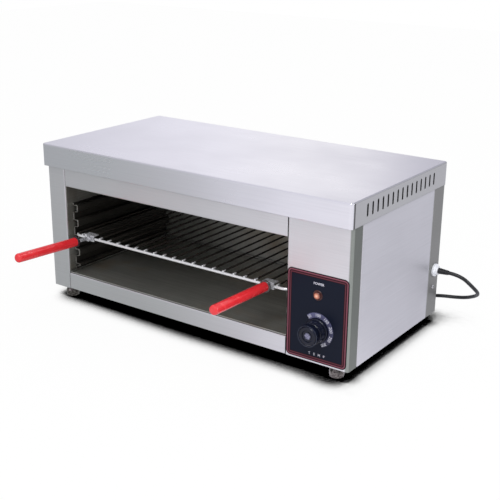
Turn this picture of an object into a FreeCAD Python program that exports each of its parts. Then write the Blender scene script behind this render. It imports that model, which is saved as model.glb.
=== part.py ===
import FreeCAD, Part
import math
import os

os.makedirs("parts", exist_ok=True)
Vector = FreeCAD.Vector

# Electric cheese melter, a countertop grill of folded stainless steel. Millimetres.
# While it is built, x runs to the right from the middle of the body, y back from its front
# plane and z up from its underside. At the end every piece moves so that the origin lies on the
# worktop, under the middle of the object's outline.

# Body
body_width = 800.0
body_depth = 390.0
body_height = 342.0
sheet = 1.2
inner_sheet = 1.0
fold = 2.4
corner_fold = 5.0
fit_gap = 0.3
seam_gap = 0.4
flange = 12.0

# Hood over the top of the body
hood_skirt = 50.3
hood_overhang = 12.7
hood_corner = 7.0
hood_edge_round = 3.0
hood_lip = 10.0
slot_count = 15
slot_front_margin = 44.0
slot_rear_margin = 63.2
slot_width = 6.0
slot_bottom = 12.6
slot_height = 25.7

# Front of the body, seen from the front
left_post_width = 52.0
control_width = 144.5
wrap_depth = 33.0
rear_wrap = 50.0
jamb_depth = 25.0
control_jamb = 14.0
lintel_height = 44.7
lintel_return = 25.0
sill_height = 38.6
sill_return = 20.0
sill_foot = 15.0
strip_gap = 1.0

# Cooking space
rear_space = 45.0
roof_space = 42.0
wall_flange = 4.0
reflector_drop = 25.0
reflector_front = 22.0
reflector_fold = 16.0
floor_fold = 12.0

# Rack guides, four grooves one above the other on each wall
guide_front = 20.0
guide_foot = 44.5
groove_count = 4
groove_pitch = 35.5
groove_height = 18.0
rack_groove = 3
rack_groove_floor = 128.5
rib_depth = 13.5
rib_slope = 3.0
lowest_rib_foot = 50.0
guide_margin = 4.0

# Base pan and levelling feet
base_inset = 1.5
base_flange = 28.0
base_flange_end = 38.0
foot_height = 24.0
foot_side_inset = 37.0
foot_front_inset = 22.0
foot_rear_inset = 40.0
foot_radius = 15.0
foot_pad = 4.0
foot_cup_top = 3.0
foot_waist_radius = 11.0
stud_radius = 5.0
stud_rise = 20.0
thread_gap = 0.05
foot_nut_width = 17.0
foot_nut_height = 8.0

# Insulation
roof_slab = 20.0
wall_slab = 25.0
slab_inset = 6.0

# Heating elements, hairpins that run across under the reflector
element_count = 3
element_radius = 4.0
element_front_margin = 55.0
element_rear_margin = 50.0
element_legs = 50.0
element_bend = 22.0
element_drop = 16.0
element_left_margin = 40.0
element_tail = 28.0
ferrule_radius = 8.0
ferrule_thick = 2.0
ferrule_nut_thick = 5.0
stud_pin_radius = 2.0
stud_pin_length = 9.0
insulator_radius = 3.6
insulator_length = 6.0
hanger_width = 12.0
hanger_sheet = 1.5
hanger_end = 30.0
hanger_count = 3
hanger_left_margin = 90.0
hanger_right_margin = 121.7

# Thermostat, knob and scale
knob_from_right = 71.5
knob_height = 71.5
knob_reach = 38.0
knob_gap = 0.8
knob_skirt_radius = 24.6
knob_skirt = 5.5
knob_barrel_radius = 22.3
knob_barrel_end = 24.0
knob_cap_radius = 19.0
knob_bevel = 1.2
knob_hollow_radius = 20.0
knob_hollow = 4.5
knob_dish_radius = 12.4
knob_dish = 2.0
knob_centre_radius = 6.8
knob_centre_proud = 0.8
flute_count = 24
flute_radius = 1.3
pointer_width = 1.8
pointer_turn = -43.0
shaft_radius = 3.0
shaft_grip = 16.0
shaft_seat = 14.0
bush_radius = 4.6
bush_hole_gap = 0.4
thermostat_width = 44.0
thermostat_depth = 32.0
thermostat_plate = 1.5
thermostat_screw_spacing = 28.0
small_screw_radius = 2.0
small_head_radius = 3.4
small_head = 2.0
scale_outer = 36.0
scale_inner = 25.6
scale_thick = 0.4
scale_start = -43.0
scale_end = 157.0

# Control overlay and pilot lamp
overlay_margin_left = 1.5
overlay_margin_right = 5.0
overlay_bottom = 3.4
overlay_top = 188.5
overlay_corner = 10.0
overlay_thick = 0.6
lamp_height = 143.9
lamp_from_right = 72.7
bezel_radius = 10.4
bezel_thick = 1.4
lens_radius = 8.0
lens_rise = 4.2
lamp_neck_radius = 6.0
lamp_body_length = 30.0
lamp_body_radius = 7.5

# Bulb and capillary of the thermostat
bulb_radius = 3.0
bulb_length = 90.0
bulb_right_margin = 46.7
bulb_from_wall = 10.0
bulb_drop = 13.0
clip_width = 8.0
clip_height = 10.0
clip_share = 0.3
capillary_radius = 1.0
capillary_hole = 2.0
capillary_bend = 12.0

# Terminal block and wiring in the control box
block_length = 56.0
block_width = 20.0
block_height = 22.0
block_from_right = 70.0
block_from_gland = 84.0
lead_radius = 1.4
lead_bend = 7.0
lead_pitch = 8.4
tail_bend = 26.0

# Crumb tray on the floor of the cooking space
tray_sheet = 0.8
tray_rim = 5.0
tray_front = 2.0
tray_hem = 2.6
tray_side_gap = 1.5
tray_rear_gap = 4.0

# Sliding rack
rail_radius = 3.0
wire_radius = 2.0
wire_count = 21
rack_left_gap = 5.7
rack_right_gap = 2.0
rack_front = 11.0
rack_rear_gap = 12.0
rack_corner = 18.0
rack_rest_gap = 0.3
weld_sink = 0.3
weld_gap = 0.1

# Handles: a sleeve on a rod, held by a bracket on the front rail
handle_left_inset = 50.3
handle_right_inset = 46.7
sleeve_slips = (32.0, 0.0)
handle_tilts = (3.0, 1.7)
bracket_width = 28.0
bracket_sheet = 2.0
bracket_drop = 5.0
bracket_rise = 2.0
bracket_tab = 15.0
handle_seat = 0.5
handle_rod_radius = 4.0
handle_rod_length = 150.0
handle_nut_width = 13.0
handle_nut_thick = 5.0
sleeve_radius = 10.0
sleeve_length = 169.5
sleeve_start = 13.0
sleeve_round = 6.0
sleeve_bore = 160.0
collar_radius = 12.5
collar_thick = 5.5
collar_bevel = 1.0

# Case screws
case_screw_radius = 2.0
case_head_radius = 4.2
case_head = 2.4
case_screw_length = 9.0
side_screw_height = 65.7
side_screw_from_rear = 27.0
rear_screw_inset = 50.0
rear_screw_height = 16.0

# Cable gland and mains cord
gland_height = 104.0
gland_from_rear = 24.0
gland_radius = 14.0
gland_base = 4.0
gland_reach = 10.5
gland_neck_radius = 9.5
gland_thread_radius = 8.0
gland_thread = 14.0
locknut_radius = 12.0
locknut_thick = 4.0
cord_diameter = 8.0
relief_radius = 6.6
relief_tip_radius = 4.8
relief_length = 23.5
# Points of the cord from the strain relief to the coil, chosen by hand on the body's frame
cord_route = (
    (434.0, 366.0, 104.0),
    (462.0, 366.0, 104.0),
    (490.0, 371.0, 83.0),
    (498.0, 395.0, 57.0),
    (487.0, 429.0, 48.0),
    (451.0, 448.0, 23.0),
    (389.0, 427.0, 22.0),
    (328.0, 438.0, -3.0),
    (276.0, 478.0, -20.0),
    (226.0, 514.0, -20.0),
    (176.0, 516.0, -20.0),
)
arc_share = 0.45
coil_loop_count = 4
coil_outer_radius = 60.0
coil_gap = 0.9
coil_layer_gap = 0.8
tie_thick = 1.2
tie_width = 8.0
tie_gap = 0.4
tie_round = 3.0
tie_turn_share = 0.35
plug_run = 22.0
plug_radius = 19.0
plug_length = 44.0
plug_neck_radius = 7.5
plug_neck = 16.0
plug_round = 3.0
plug_grip_cut = 3.0
plug_grip_length = 20.0
pin_radius = 2.4
pin_length = 19.0
pin_spacing = 19.0

over = 1.0  # how far a cutting solid runs past what it cuts

# Places worked out from the sizes above
half_width = body_width / 2
hood_foot = body_height - hood_skirt
panel_top = body_height - sheet
skin_top = body_height - hood_edge_round
skin_inside = half_width - sheet
rear_inside = body_depth - sheet
control_left = half_width - control_width
cavity_left = -half_width + left_post_width + inner_sheet
cavity_right = control_left + sheet
cavity_middle = (cavity_left + cavity_right) / 2
cavity_depth = body_depth - rear_space
wall_top = body_height - roof_space
reflector_under = wall_top - reflector_drop
element_height = reflector_under - element_drop
bulb_height = reflector_under - bulb_drop
strip_left = cavity_left + fit_gap
strip_right = control_left - strip_gap
knob_x = half_width - knob_from_right
lamp_x = half_width - lamp_from_right
panel_face = -overlay_thick
scale_face = panel_face - scale_thick
gland_y = body_depth - gland_from_rear
floor_top = sill_height
tray_floor = floor_top + fit_gap
rail_z = rack_groove_floor + rack_rest_gap + rail_radius
wire_z = rail_z + rail_radius + wire_radius - weld_sink
first_groove_floor = rack_groove_floor - (rack_groove - 1) * groove_pitch

shapes = {}


def block(x0, x1, y0, y1, z0, z1):
    return Part.makeBox(x1 - x0, y1 - y0, z1 - z0, Vector(x0, y0, z0))


def rod(x, y, z, radius, length, direction):
    return Part.makeCylinder(radius, length, Vector(x, y, z), Vector(*direction))


def hex_prism(x, y, z, width, length, direction):
    corner_radius = width / math.sqrt(3)
    axis = Vector(*direction)
    points = []
    for corner in range(7):
        turn = math.radians(60 * corner)
        points.append(Vector(corner_radius * math.cos(turn), corner_radius * math.sin(turn), 0))
    prism = Part.Face(Part.makePolygon(points)).extrude(Vector(0, 0, length))
    turned = FreeCAD.Rotation(Vector(0, 0, 1), axis)
    prism.Placement = FreeCAD.Placement(Vector(x, y, z), turned)
    return prism


def revolved(profile, x, y, z, direction):
    """Solid turned from (radius, height) points, its axis along direction."""
    points = [Vector(radius, 0, height) for radius, height in profile]
    points.append(points[0])
    face = Part.Face(Part.makePolygon(points))
    solid = face.revolve(Vector(0, 0, 0), Vector(0, 0, 1), 360)
    turned = FreeCAD.Rotation(Vector(0, 0, 1), Vector(*direction))
    solid.Placement = FreeCAD.Placement(Vector(x, y, z), turned)
    return solid


def fused(solids):
    return solids[0].fuse(solids[1:]).removeSplitter()


def grouped(solids):
    return Part.makeCompound(solids)


def tangent_path(points, radii):
    """Straight runs joined by tangent arcs, with one radius for each inner point."""
    edges = []
    start = points[0]
    for before, corner, after, radius in zip(points, points[1:], points[2:], radii):
        coming = (corner - before).normalize()
        going = (after - corner).normalize()
        half_turn = coming.getAngle(going) / 2
        reach = radius * math.tan(half_turn)
        inward = (going - coming).normalize()
        arc_start = corner - coming * reach
        arc_middle = corner + inward * (radius / math.cos(half_turn) - radius)
        arc_end = corner + going * reach
        edges.append(Part.LineSegment(start, arc_start).toShape())
        edges.append(Part.Arc(arc_start, arc_middle, arc_end).toShape())
        start = arc_end
    edges.append(Part.LineSegment(start, points[-1]).toShape())
    return edges


def tube_along(edges, start, direction, radius):
    circle = Part.Wire(Part.makeCircle(radius, start, direction))
    return Part.Wire(edges).makePipeShell([circle], True, False)


def tube(points, bend, radius):
    """Round bar or lead along points, every corner bent to the same radius."""
    corners = [Vector(*point) for point in points]
    edges = tangent_path(corners, [bend] * (len(corners) - 2))
    return tube_along(edges, corners[0], corners[1] - corners[0], radius)


def folded(path, thickness, fold_radii, to_space, along):
    """Sheet folded along a flat path; its thickness lies to the left of the path.

    Each inner point has its own fold radius, on the outside of the fold.
    """
    count = len(path)
    steps = []
    for (u0, v0), (u1, v1) in zip(path, path[1:]):
        length = math.hypot(u1 - u0, v1 - v0)
        steps.append(((u1 - u0) / length, (v1 - v0) / length))
    near_skin = [to_space(u, v) for u, v in path]
    far_points = []
    near_radii = []
    far_radii = []
    for index in range(count):
        before = steps[max(index - 1, 0)]
        after = steps[min(index, count - 2)]
        overlap = 1 + before[0] * after[0] + before[1] * after[1]
        shift_u = -(before[1] + after[1]) * thickness / overlap
        shift_v = (before[0] + after[0]) * thickness / overlap
        far_points.append(to_space(path[index][0] + shift_u, path[index][1] + shift_v))
        if 0 < index < count - 1:
            left_turn = before[0] * after[1] - before[1] * after[0] > 0
            fold_radius = fold_radii[index - 1]
            near_radii.append(fold_radius if left_turn else fold_radius - thickness)
            far_radii.append(fold_radius - thickness if left_turn else fold_radius)
    edges = tangent_path(near_skin, near_radii)
    edges.append(Part.LineSegment(near_skin[-1], far_points[-1]).toShape())
    edges += tangent_path(far_points[::-1], far_radii[::-1])
    edges.append(Part.LineSegment(far_points[0], near_skin[0]).toShape())
    outline = Part.Wire(Part.sortEdges(edges)[0])
    return Part.Face(outline).extrude(along)


def folded_skin(path, fold_radii, top):
    """Outer panel along (x, y) points in plan. Its flanges stand on the base plate."""
    skin = folded(path, sheet, fold_radii, lambda x, y: Vector(x, y, 0), Vector(0, 0, top))
    inner = rounded_block(-skin_inside, skin_inside, sheet, rear_inside, -over, 2 * sheet,
                          corner_fold - sheet)
    return skin.cut(inner)


def folded_across(path, thickness, fold_radius, x0, x1):
    """Folded along a path of (y, z) points and running from x0 to x1."""
    return folded(path, thickness, [fold_radius] * (len(path) - 2),
                  lambda y, z: Vector(x0, y, z), Vector(x1 - x0, 0, 0))


def folded_back(path, thickness, fold_radius, y0, y1):
    """Folded along a path of (x, z) points and running from y0 to y1."""
    return folded(path, thickness, [fold_radius] * (len(path) - 2),
                  lambda x, z: Vector(x, y0, z), Vector(0, y1 - y0, 0))


def rounded_block(x0, x1, y0, y1, z0, z1, corner):
    """Block whose upright edges are rounded."""
    solid = block(x0, x1, y0, y1, z0, z1)
    uprights = []
    for edge in solid.Edges:
        ends = [vertex.Point for vertex in edge.Vertexes]
        if abs(ends[0].z - ends[1].z) > (z1 - z0) / 2:
            uprights.append(edge)
    return solid.makeFillet(corner, uprights)


def rounded_lid(x0, x1, y0, y1, z0, z1, corner, edge_round):
    """Rounded block whose top edges are rounded too."""
    solid = rounded_block(x0, x1, y0, y1, z0, z1, corner)
    top_edges = [edge for edge in solid.Edges if edge.BoundBox.ZMin > z1 - edge_round]
    return solid.makeFillet(edge_round, top_edges)


def plate_at_front(x0, x1, z0, z1, corner, y0, y1):
    """Flat plate on the front plane, with rounded corners."""
    plate = rounded_block(x0, x1, z0, z1, 0, y1 - y0, corner)
    turned = FreeCAD.Rotation(Vector(1, 0, 0), 90)
    plate.Placement = FreeCAD.Placement(Vector(0, y1, 0), turned)
    return plate


def mirrored_in_cavity(shape):
    return shape.mirror(Vector(cavity_middle, 0, 0), Vector(1, 0, 0))


def mirrored_in_body(shape):
    return shape.mirror(Vector(0, 0, 0), Vector(1, 0, 0))


def vent_slot(x0, x1, y_middle):
    """Slot with round ends, cut across a side flange of the hood."""
    z0 = hood_foot + slot_bottom
    radius = slot_width / 2
    straight = block(x0, x1, y_middle - radius, y_middle + radius,
                     z0 + radius, z0 + slot_height - radius)
    lower = rod(x0, y_middle, z0 + radius, radius, x1 - x0, (1, 0, 0))
    upper = rod(x0, y_middle, z0 + slot_height - radius, radius, x1 - x0, (1, 0, 0))
    return fused([straight, lower, upper])


def make_hood():
    side = half_width + fit_gap + sheet
    rear = body_depth + fit_gap + sheet
    outside = rounded_lid(-side, side, -hood_overhang, rear, hood_foot, body_height,
                          hood_corner, hood_edge_round)
    inside = rounded_lid(sheet - side, side - sheet, sheet - hood_overhang, rear - sheet,
                         hood_foot - over, panel_top, hood_corner - sheet, hood_edge_round - sheet)
    hood = outside.cut(inside)
    slots = []
    slot_pitch = (body_depth - slot_front_margin - slot_rear_margin) / (slot_count - 1)
    for index in range(slot_count):
        y_middle = slot_front_margin + index * slot_pitch
        slots.append(vent_slot(side - sheet - over, side + over, y_middle))
        slots.append(vent_slot(-side - over, sheet - side + over, y_middle))
    hood = hood.cut(slots)
    lip = block(hood_corner - side, side - hood_corner, sheet - hood_overhang,
                sheet - hood_overhang + hood_lip, hood_foot, hood_foot + sheet)
    hood = hood.fuse(lip)
    holes = [rod(x, rear - sheet - over, rear_screw_z(True), case_screw_radius + fit_gap,
                 sheet + 2 * over, (0, 1, 0)) for x in rear_screw_places()]
    shapes["top_hood"] = hood.cut(holes)


def rear_screw_places():
    return (rear_screw_inset - half_width, 0.0, half_width - rear_screw_inset)


def rear_screw_z(upper):
    return hood_foot + hood_skirt / 2 if upper else rear_screw_height


def make_outer_panels():
    shapes["left_front_post"] = folded_skin(
        ((flange - half_width, wrap_depth), (-half_width, wrap_depth), (-half_width, 0),
         (left_post_width - half_width, 0), (left_post_width - half_width, jamb_depth)),
        (fold, corner_fold, fold), skin_top)

    control = folded_skin(
        ((control_left, control_jamb), (control_left, 0), (half_width, 0),
         (half_width, wrap_depth), (half_width - flange, wrap_depth)),
        (fold, corner_fold, fold), skin_top)
    holes = [rod(knob_x, -over, knob_height, bush_radius + bush_hole_gap, sheet + 2 * over, (0, 1, 0)),
             rod(lamp_x, -over, lamp_height, lamp_neck_radius + fit_gap, sheet + 2 * over, (0, 1, 0))]
    for x in thermostat_screw_places():
        holes.append(rod(x, -over, knob_height, small_screw_radius + fit_gap,
                         sheet + 2 * over, (0, 1, 0)))
    shapes["control_box_front"] = control.cut(holes)

    cover = folded_skin(
        ((half_width - flange, wrap_depth + seam_gap), (half_width, wrap_depth + seam_gap),
         (half_width, body_depth - rear_wrap - seam_gap),
         (half_width - flange, body_depth - rear_wrap - seam_gap)),
        (fold, fold), wall_top)
    shapes["right_side_cover"] = cover
    shapes["left_side_cover"] = mirrored_in_body(cover)

    wrap_start = body_depth - rear_wrap
    rear = folded_skin(
        ((half_width - flange, wrap_start), (half_width, wrap_start), (half_width, body_depth),
         (-half_width, body_depth), (-half_width, wrap_start), (flange - half_width, wrap_start)),
        (fold, corner_fold, corner_fold, fold), skin_top)
    holes = [rod(skin_inside - over, gland_y, gland_height, gland_thread_radius + fit_gap,
                 sheet + 2 * over, (1, 0, 0)),
             rod(skin_inside - over, side_screw_y(), side_screw_height,
                 case_screw_radius + thread_gap, sheet + 2 * over, (1, 0, 0))]
    for x in rear_screw_places():
        for upper in (True, False):
            holes.append(rod(x, rear_inside - over, rear_screw_z(upper),
                             case_screw_radius + thread_gap, sheet + 2 * over, (0, 1, 0)))
    shapes["rear_panel"] = rear.cut(holes)


def side_screw_y():
    return body_depth - side_screw_from_rear


def thermostat_screw_places():
    return (knob_x - thermostat_screw_spacing / 2, knob_x + thermostat_screw_spacing / 2)


def make_front_strips():
    shapes["front_lintel"] = folded_across(
        ((lintel_return, hood_foot - lintel_height), (0, hood_foot - lintel_height),
         (0, panel_top), (sill_return, panel_top))[::-1],
        sheet, fold, strip_left, strip_right)
    shapes["front_sill"] = folded_across(
        ((sill_return, sill_height), (0, sill_height), (0, 0), (sill_foot, 0)),
        sheet, fold, strip_left, strip_right)


def foot_places():
    """Feet by name, with their x and y."""
    places = {}
    for side, x in (("left", foot_side_inset - half_width), ("right", half_width - foot_side_inset)):
        places["front_" + side] = (x, foot_front_inset)
        places["rear_" + side] = (x, body_depth - foot_rear_inset)
    return places


def make_base():
    edge = half_width - base_inset
    rear = body_depth - base_inset
    plate = rounded_block(-edge, edge, fold + fit_gap, rear, sheet, 2 * sheet,
                          corner_fold - base_inset)
    side_flange = block(edge - sheet, edge, base_flange_end + base_inset,
                        body_depth - rear_wrap - flange - base_inset, sheet, base_flange)
    rear_flange = block(base_flange_end - half_width, half_width - base_flange_end,
                        rear - sheet, rear, sheet, base_flange)
    base = fused([plate, side_flange, mirrored_in_body(side_flange), rear_flange])
    holes = []
    for x, y in foot_places().values():
        holes.append(rod(x, y, sheet - over, stud_radius + fit_gap, sheet + 2 * over, (0, 0, 1)))
    for x in rear_screw_places():
        holes.append(rod(x, rear - sheet - over, rear_screw_z(False),
                         case_screw_radius + thread_gap, sheet + 2 * over, (0, 1, 0)))
    shapes["base_panel"] = base.cut(holes)


def element_places():
    """Depths of the element legs, in pairs."""
    pairs = []
    rows = cavity_depth - element_front_margin - element_rear_margin - element_legs
    for index in range(element_count):
        y = element_front_margin + index * rows / (element_count - 1)
        pairs.append((y, y + element_legs))
    return pairs


def make_cavity():
    wall_foot = 2 * sheet
    wall_rear = cavity_depth + inner_sheet
    outer_left = cavity_left - inner_sheet
    flanged = folded_back(
        ((outer_left - wall_flange, wall_foot), (cavity_left, wall_foot), (cavity_left, wall_top),
         (outer_left - wall_flange, wall_top)), inner_sheet, fold, jamb_depth + fit_gap, wall_rear)
    plain = block(outer_left, cavity_left, fold + fit_gap, jamb_depth + 2 * fit_gap,
                  wall_foot + fold, wall_top - fold)
    left_wall = flanged.fuse(plain).removeSplitter()
    shapes["left_inner_wall"] = left_wall

    right_wall = mirrored_in_cavity(left_wall)
    holes = []
    for pair in element_places():
        for y in pair:
            holes.append(rod(cavity_right - over, y, element_height, element_radius + fit_gap,
                             inner_sheet + 2 * over, (1, 0, 0)))
    holes.append(rod(cavity_right - over, cavity_depth - bulb_from_wall, bulb_height,
                     capillary_hole, inner_sheet + 2 * over, (1, 0, 0)))
    shapes["right_inner_wall"] = right_wall.cut(holes)

    inner_right = cavity_right - fit_gap
    inner_left = cavity_left + fit_gap
    shapes["cavity_rear_wall"] = folded_across(
        ((cavity_depth + flange, wall_foot), (cavity_depth, wall_foot),
         (cavity_depth, wall_top), (cavity_depth + flange, wall_top))[::-1],
        inner_sheet, fold, inner_left, inner_right)

    floor_front = sill_return + fit_gap
    floor_rear = cavity_depth - fit_gap
    shapes["cavity_floor"] = folded_across(
        ((floor_front, floor_top - floor_fold), (floor_front, floor_top),
         (floor_rear, floor_top), (floor_rear, floor_top - floor_fold))[::-1],
        sheet, fold, inner_left, inner_right)

    shapes["heat_reflector"] = folded_across(
        ((reflector_front, reflector_under - reflector_fold), (reflector_front, reflector_under),
         (floor_rear, reflector_under)), inner_sheet, fold, inner_left, inner_right)

    path = [(cavity_left, guide_foot)]
    rib_foot = lowest_rib_foot
    for index in range(groove_count + 1):
        rib_top = first_groove_floor + index * groove_pitch
        path += [(cavity_left, rib_foot), (cavity_left + rib_depth - inner_sheet, rib_foot + rib_slope),
                 (cavity_left + rib_depth - inner_sheet, rib_top - inner_sheet),
                 (cavity_left, rib_top - inner_sheet)]
        rib_foot = rib_top + groove_height
    path.append((cavity_left, rib_top + guide_margin))
    left_guide = folded_back(path[::-1], inner_sheet, fold - inner_sheet / 2,
                             guide_front, cavity_depth - fit_gap)
    shapes["left_rack_guide"] = left_guide
    shapes["right_rack_guide"] = mirrored_in_cavity(left_guide)


def make_insulation():
    slab_foot = reflector_under + inner_sheet + fit_gap
    shapes["roof_insulation"] = block(
        cavity_left + slab_inset, cavity_right - slab_inset, reflector_front + slab_inset,
        cavity_depth - slab_inset, slab_foot, slab_foot + roof_slab)
    wall_foot = stud_rise + slab_inset
    wall_head = wall_top - slab_inset
    left = block(cavity_left - inner_sheet - fit_gap - wall_slab, cavity_left - inner_sheet - fit_gap,
                 jamb_depth + slab_inset, cavity_depth, wall_foot, wall_head)
    behind = cavity_depth + inner_sheet + fit_gap
    rear = block(cavity_left + slab_inset, cavity_right - slab_inset,
                 behind, behind + wall_slab, wall_foot, wall_head)
    shapes["wall_insulation"] = grouped([left, rear])


def make_elements():
    elements = []
    ferrules = []
    terminals = []
    wall_out = cavity_right + inner_sheet
    tail_end = wall_out + element_tail
    left_end = cavity_left + element_left_margin
    for near, far in element_places():
        elements.append(tube(
            ((tail_end, near, element_height), (left_end, near, element_height),
             (left_end, far, element_height), (tail_end, far, element_height)),
            element_bend, element_radius))
        for y in (near, far):
            washer = rod(cavity_right - ferrule_thick, y, element_height, ferrule_radius,
                         ferrule_thick, (1, 0, 0))
            nut = hex_prism(wall_out, y, element_height, 2 * ferrule_radius, ferrule_nut_thick,
                            (1, 0, 0))
            for ring in (washer, nut):
                ferrules.append(ring.cut(rod(cavity_right - 2 * ferrule_thick, y, element_height,
                                             element_radius + thread_gap, element_tail, (1, 0, 0))))
            insulator = rod(tail_end, y, element_height, insulator_radius, insulator_length, (1, 0, 0))
            pin = rod(tail_end, y, element_height, stud_pin_radius, stud_pin_length, (1, 0, 0))
            terminals.append(insulator.fuse(pin).removeSplitter())
    shapes["heating_elements"] = grouped(elements)
    shapes["element_ferrules"] = grouped(ferrules)
    shapes["element_terminals"] = grouped(terminals)

    under = element_height - element_radius - fit_gap
    hangers = []
    spread = (cavity_right - cavity_left - hanger_left_margin - hanger_right_margin - hanger_width)
    for index in range(hanger_count):
        x = cavity_left + hanger_left_margin + index * spread / (hanger_count - 1)
        hangers.append(folded_across(
            ((hanger_end, reflector_under), (hanger_end, under - hanger_sheet),
             (cavity_depth - hanger_end, under - hanger_sheet),
             (cavity_depth - hanger_end, reflector_under)),
            hanger_sheet, fold, x, x + hanger_width))
    shapes["element_hangers"] = grouped(hangers)


def make_thermostat():
    plate = block(knob_x - thermostat_width / 2, knob_x + thermostat_width / 2,
                  sheet, sheet + thermostat_plate,
                  knob_height - thermostat_width / 2, knob_height + thermostat_width / 2)
    case = block(knob_x - thermostat_width / 2 + fold, knob_x + thermostat_width / 2 - fold,
                 sheet + thermostat_plate, sheet + thermostat_plate + thermostat_depth,
                 knob_height - thermostat_width / 2 + fold, knob_height + thermostat_width / 2 - fold)
    bush = rod(knob_x, panel_face, knob_height, bush_radius, sheet + overlay_thick + thermostat_plate,
               (0, 1, 0))
    bore = rod(knob_x, panel_face - over, knob_height, shaft_radius + thread_gap,
               over + shaft_seat + fit_gap, (0, 1, 0))
    thermostat = fused([plate, case, bush]).cut(bore)
    screws = []
    for x in thermostat_screw_places():
        tapped = rod(x, sheet - over, knob_height, small_screw_radius + thread_gap,
                     over + thermostat_plate + flange, (0, 1, 0))
        thermostat = thermostat.cut(tapped)
        head = rod(x, panel_face - small_head, knob_height, small_head_radius, small_head, (0, 1, 0))
        shank = rod(x, panel_face, knob_height, small_screw_radius, flange, (0, 1, 0))
        screws.append(head.fuse(shank).removeSplitter())
    shapes["thermostat_body"] = thermostat
    shapes["thermostat_screws"] = grouped(screws)

    bulb_y = cavity_depth - bulb_from_wall
    bulb_right = cavity_right - bulb_right_margin
    bulb_left = bulb_right - bulb_length
    shapes["thermostat_bulb"] = rod(bulb_left, bulb_y, bulb_height, bulb_radius, bulb_length, (1, 0, 0))
    clips = []
    for x in (bulb_left + bulb_length * clip_share, bulb_right - bulb_length * clip_share):
        clip = block(x - clip_width / 2, x + clip_width / 2, bulb_y - clip_height / 2, cavity_depth,
                     bulb_height - clip_height / 2, bulb_height + clip_height / 2)
        clips.append(clip.cut(rod(bulb_left, bulb_y, bulb_height, bulb_radius + thread_gap,
                                  bulb_length, (1, 0, 0))))
    shapes["bulb_clips"] = grouped(clips)

    turn_x = cavity_right + inner_sheet + element_tail
    entry_z = knob_height + thermostat_width / 4
    shapes["capillary_tube"] = tube(
        ((bulb_right, bulb_y, bulb_height), (turn_x, bulb_y, bulb_height),
         (turn_x, bulb_y, entry_z), (knob_x, bulb_y, entry_z),
         (knob_x, sheet + thermostat_plate + thermostat_depth, entry_z)),
        capillary_bend, capillary_radius)


def turned_block(x0, x1, y0, y1, z0, z1, turn):
    """Block above the knob's axis, turned clockwise about it as seen from the front."""
    solid = block(x0, x1, y0, y1, z0, z1)
    solid.rotate(Vector(knob_x, 0, knob_height), Vector(0, 1, 0), turn)
    return solid


def make_knob():
    back = scale_face - knob_gap
    front = -knob_reach
    skirt_front = back - knob_skirt
    barrel_front = -knob_barrel_end
    knob = revolved(
        ((0, -back), (knob_skirt_radius, -back),
         (knob_skirt_radius, -skirt_front - knob_bevel), (knob_skirt_radius - knob_bevel, -skirt_front),
         (knob_barrel_radius, -skirt_front), (knob_barrel_radius, -barrel_front - knob_bevel),
         (knob_barrel_radius - knob_bevel, -barrel_front), (knob_cap_radius, -barrel_front),
         (knob_cap_radius, -front - knob_bevel), (knob_cap_radius - knob_bevel, -front),
         (knob_dish_radius, -front), (knob_dish_radius - knob_bevel, -front - knob_dish),
         (0, -front - knob_dish)),
        knob_x, 0, knob_height, (0, -1, 0))
    hollow = rod(knob_x, back + over, knob_height, knob_hollow_radius, knob_hollow + over, (0, -1, 0))
    boss = rod(knob_x, back, knob_height, bush_radius + 2 * bush_hole_gap, knob_hollow, (0, -1, 0))
    bore = rod(knob_x, back + over, knob_height, shaft_radius + thread_gap, shaft_grip + over,
               (0, -1, 0))
    cuts = [hollow.cut(boss), bore]
    for index in range(flute_count):
        turn = math.radians(360 * index / flute_count)
        reach = knob_barrel_radius + flute_radius / 2
        cuts.append(rod(knob_x + reach * math.sin(turn), skirt_front,
                        knob_height + reach * math.cos(turn), flute_radius,
                        skirt_front - barrel_front + over, (0, -1, 0)))
    knob = knob.cut(cuts)
    pointer = turned_block(knob_x - pointer_width / 2, knob_x + pointer_width / 2,
                           front + knob_bevel, barrel_front + over,
                           knob_height + knob_cap_radius - over, knob_height + knob_barrel_radius,
                           pointer_turn)
    shapes["thermostat_knob"] = knob.fuse(pointer).removeSplitter()

    centre = rod(knob_x, front + knob_dish, knob_height, knob_centre_radius, knob_centre_proud,
                 (0, -1, 0))
    shapes["knob_centre"] = rounded_end(centre, front + knob_dish - knob_centre_proud,
                                        knob_centre_proud / 2)
    shapes["thermostat_shaft"] = rod(knob_x, back - shaft_grip + fit_gap, knob_height, shaft_radius,
                                     shaft_grip - fit_gap - back + shaft_seat + panel_face, (0, 1, 0))


def rounded_end(solid, y_end, radius):
    """Rounds the rim at the end of a rod that points to the front."""
    rims = [edge for edge in solid.Edges
            if edge.BoundBox.YMax < y_end + radius and edge.Curve.TypeId == "Part::GeomCircle"]
    return solid.makeFillet(radius, rims)


def scale_sector(radius, turn):
    return Vector(knob_x + radius * math.sin(turn), panel_face, knob_height + radius * math.cos(turn))


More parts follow.
